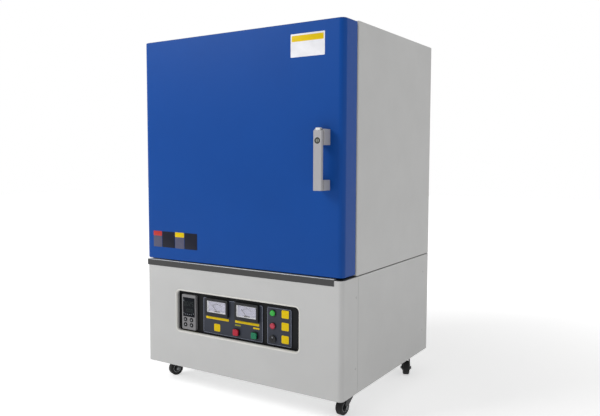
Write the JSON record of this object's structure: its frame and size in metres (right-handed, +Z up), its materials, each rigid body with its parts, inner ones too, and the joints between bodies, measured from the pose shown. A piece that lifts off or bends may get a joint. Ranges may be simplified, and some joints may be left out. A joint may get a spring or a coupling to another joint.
{
  "type": "chamber furnace",
  "caption": "Laboratory chamber furnace with a blue side-hinged door and thumb-latch handle, on a grey cabinet with controller, meters, lamps and buttons, standing on swivel casters.",
  "frame": {"origin": "on the floor under the middle of the furnace's outer box", "axes": "+Z up, +Y to the rear, +X to the right of someone facing the door"},
  "size_m": [0.615, 0.629, 0.9535],
  "materials": {
    "body_paint": "fine textured satin powder coat",
    "door_blue": "fine textured satin powder coat",
    "dark_paint": "matt",
    "silver_paint": "satin silver lacquer",
    "grey_plastic": "fine grain",
    "slate_plate": "anodised, satin",
    "frame_steel": "satin",
    "inner_steel": "zinc plated",
    "stainless": "brushed",
    "zinc": "zinc plated",
    "black_steel": "gloss",
    "chrome": "polished",
    "bush_brass": "turned",
    "core_iron": "varnished sheets",
    "heat_sink": "extruded",
    "element": "oxidised heating alloy",
    "fibre": "rough ceramic fibre board",
    "rope": "woven fibre rope",
    "hearth": "matt fired ceramic",
    "black_plastic": "fine grain",
    "key_plastic": "fine grain",
    "white_plastic": "satin",
    "red_plastic": "moulded",
    "green_plastic": "moulded",
    "lamp_lens": "translucent lens",
    "needle": "matt lacquer",
    "clear_window": "clear",
    "wheel_iron": "black enamel"
  },
  "bodies": {
    "furnace": {"cabinet_deck": "dark_paint", "cabinet_frame": "frame_steel", "cabinet_front_panel": "body_paint", "cabinet_rear_panel": "body_paint", "cabinet_side_panels": "body_paint", "cable_gland": "black_plastic", "casing_floor": "frame_steel", "casing_rear_cover": "body_paint", "casing_side_panels": "body_paint", "casing_top": "body_paint", "caster_mounts": "zinc", "controller_case": "grey_plastic", "edge_strip": "stainless", "element_holders": "hearth", "fan_housing": "black_plastic", "fibre_ends": "fibre", "fibre_floor_and_roof": "fibre", "fibre_walls": "fibre", "front_frame": "stainless", "hearth_plate": "hearth", "heating_elements": "element", "hinge_brackets": "stainless", "inner_box": "inner_steel", "instrument_plates": "slate_plate", "instrument_tray": "dark_paint", "lamps": "lamp_lens", "meter_cases": "black_plastic", "meter_windows": "clear_window", "panel_bezels": "black_plastic", "power_regulator": "heat_sink", "thermocouple": "hearth", "transformer": "core_iron"},
    "door": {"door_shell": "door_blue", "door_cover": "stainless", "door_insulation": "fibre", "door_seal": "rope", "hinge_bushes": "bush_brass", "handle_body": "silver_paint", "latch_bracket": "inner_steel"},
    "thumb_button_body": {"thumb_button": "white_plastic"},
    "lock_cylinder_body": {"lock_cylinder": "chrome"},
    "latch_lever_body": {"latch_lever": "inner_steel"},
    "stop_button_body": {"stop_button": "red_plastic"},
    "start_button_body": {"start_button": "green_plastic"},
    "key_switch_rotor_body": {"key_switch_rotor": "black_plastic"},
    "meter_needle_left_body": {"meter_needle_left": "needle"},
    "meter_needle_right_body": {"meter_needle_right": "needle"},
    "fan_rotor_body": {"fan_rotor": "black_plastic"},
    "caster_fork_front_left_body": {"caster_fork_front_left": "black_steel"},
    "caster_fork_front_right_body": {"caster_fork_front_right": "black_steel"},
    "caster_fork_rear_left_body": {"caster_fork_rear_left": "black_steel"},
    "caster_fork_rear_right_body": {"caster_fork_rear_right": "black_steel"},
    "caster_wheel_front_left_body": {"caster_wheel_front_left": "wheel_iron"},
    "caster_wheel_front_right_body": {"caster_wheel_front_right": "wheel_iron"},
    "caster_wheel_rear_left_body": {"caster_wheel_rear_left": "wheel_iron"},
    "caster_wheel_rear_right_body": {"caster_wheel_rear_right": "wheel_iron"},
    "controller_key_1_body": {"controller_key_1": "key_plastic"},
    "controller_key_2_body": {"controller_key_2": "key_plastic"},
    "controller_key_3_body": {"controller_key_3": "key_plastic"},
    "controller_key_4_body": {"controller_key_4": "key_plastic"}
  },
  "joints": [
    {"name": "door_hinge", "type": "hinge", "parent": "furnace", "child": "door", "pos_m": [-0.2935, -0.2465, 0.356], "axis": [0, 0, -1], "range_deg": [0, 110]},
    {"name": "thumb_button_press", "type": "slide", "parent": "door", "child": "thumb_button_body", "axis": [0, 0, -1], "range_m": [0, 0.004], "stiffness_N_per_m": 600, "springref_m": -0.001},
    {"name": "latch_pivot", "type": "hinge", "parent": "door", "child": "latch_lever_body", "pos_m": [0.26, -0.2465, 0.689], "axis": [1, 0, 0], "range_deg": [0, 4]},
    {"name": "handle_lock_turn", "type": "hinge", "parent": "door", "child": "lock_cylinder_body", "pos_m": [0.26, -0.3145, 0.674], "axis": [0, 1, 0], "range_deg": [0, 90]},
    {"name": "key_switch_turn", "type": "hinge", "parent": "furnace", "child": "key_switch_rotor_body", "pos_m": [0.1086, -0.2645, 0.1822], "axis": [0, 1, 0], "range_deg": [0, 90]},
    {"name": "stop_button_press", "type": "slide", "parent": "furnace", "child": "stop_button_body", "axis": [0, 1, 0], "range_m": [0, 0.003], "stiffness_N_per_m": 500, "springref_m": -0.001},
    {"name": "start_button_press", "type": "slide", "parent": "furnace", "child": "start_button_body", "axis": [0, 1, 0], "range_m": [0, 0.003], "stiffness_N_per_m": 500, "springref_m": -0.001},
    {"name": "controller_key_1_press", "type": "slide", "parent": "furnace", "child": "controller_key_1_body", "axis": [0, 1, 0], "range_m": [0, 0.0007], "stiffness_N_per_m": 400, "springref_m": -0.0005},
    {"name": "controller_key_2_press", "type": "slide", "parent": "furnace", "child": "controller_key_2_body", "axis": [0, 1, 0], "range_m": [0, 0.0007], "stiffness_N_per_m": 400, "springref_m": -0.0005},
    {"name": "controller_key_3_press", "type": "slide", "parent": "furnace", "child": "controller_key_3_body", "axis": [0, 1, 0], "range_m": [0, 0.0007], "stiffness_N_per_m": 400, "springref_m": -0.0005},
    {"name": "controller_key_4_press", "type": "slide", "parent": "furnace", "child": "controller_key_4_body", "axis": [0, 1, 0], "range_m": [0, 0.0007], "stiffness_N_per_m": 400, "springref_m": -0.0005},
    {"name": "meter_needle_left_swing", "type": "hinge", "parent": "furnace", "child": "meter_needle_left_body", "pos_m": [-0.066, -0.2645, 0.22845], "axis": [0, 1, 0], "range_deg": [0, 90], "stiffness_Nm_per_rad": 0.00002, "springref_deg": -5.73},
    {"name": "meter_needle_right_swing", "type": "hinge", "parent": "furnace", "child": "meter_needle_right_body", "pos_m": [0.0305, -0.2645, 0.22845], "axis": [0, 1, 0], "range_deg": [0, 90], "stiffness_Nm_per_rad": 0.00002, "springref_deg": -5.73},
    {"name": "fan_spin", "type": "hinge", "parent": "furnace", "child": "fan_rotor_body", "pos_m": [-0.15, 0.2885, 0.212], "axis": [0, 1, 0], "continuous": true},
    {"name": "caster_swivel_front_left", "type": "hinge", "parent": "furnace", "child": "caster_fork_front_left_body", "pos_m": [-0.27, -0.1745, 0], "axis": [0, 0, 1], "continuous": true},
    {"name": "caster_wheel_spin_front_left", "type": "hinge", "parent": "caster_fork_front_left_body", "child": "caster_wheel_front_left_body", "pos_m": [-0.27749, -0.19304, 0.02], "axis": [0.9272, -0.3746, 0], "continuous": true},
    {"name": "caster_swivel_front_right", "type": "hinge", "parent": "furnace", "child": "caster_fork_front_right_body", "pos_m": [0.27, -0.1745, 0], "axis": [0, 0, 1], "continuous": true},
    {"name": "caster_wheel_spin_front_right", "type": "hinge", "parent": "caster_fork_front_right_body", "child": "caster_wheel_front_right_body", "pos_m": [0.26756, -0.19435, 0.02], "axis": [0.9925, -0.1219, 0], "continuous": true},
    {"name": "caster_swivel_rear_left", "type": "hinge", "parent": "furnace", "child": "caster_fork_rear_left_body", "pos_m": [-0.27, 0.2075, 0], "axis": [0, 0, 1], "continuous": true},
    {"name": "caster_wheel_spin_rear_left", "type": "hinge", "parent": "caster_fork_rear_left_body", "child": "caster_wheel_rear_left_body", "pos_m": [-0.26653, 0.1878, 0.02], "axis": [0.9848, 0.1736, 0], "continuous": true},
    {"name": "caster_swivel_rear_right", "type": "hinge", "parent": "furnace", "child": "caster_fork_rear_right_body", "pos_m": [0.27, 0.2075, 0], "axis": [0, 0, 1], "continuous": true},
    {"name": "caster_wheel_spin_rear_right", "type": "hinge", "parent": "caster_fork_rear_right_body", "child": "caster_wheel_rear_right_body", "pos_m": [0.27939, 0.18984, 0.02], "axis": [0.8829, 0.4695, 0], "continuous": true}
  ],
  "couplings": [
    {"joint": "latch_pivot", "follows": "thumb_button_press", "rad_per_m": 16.393}
  ]
}
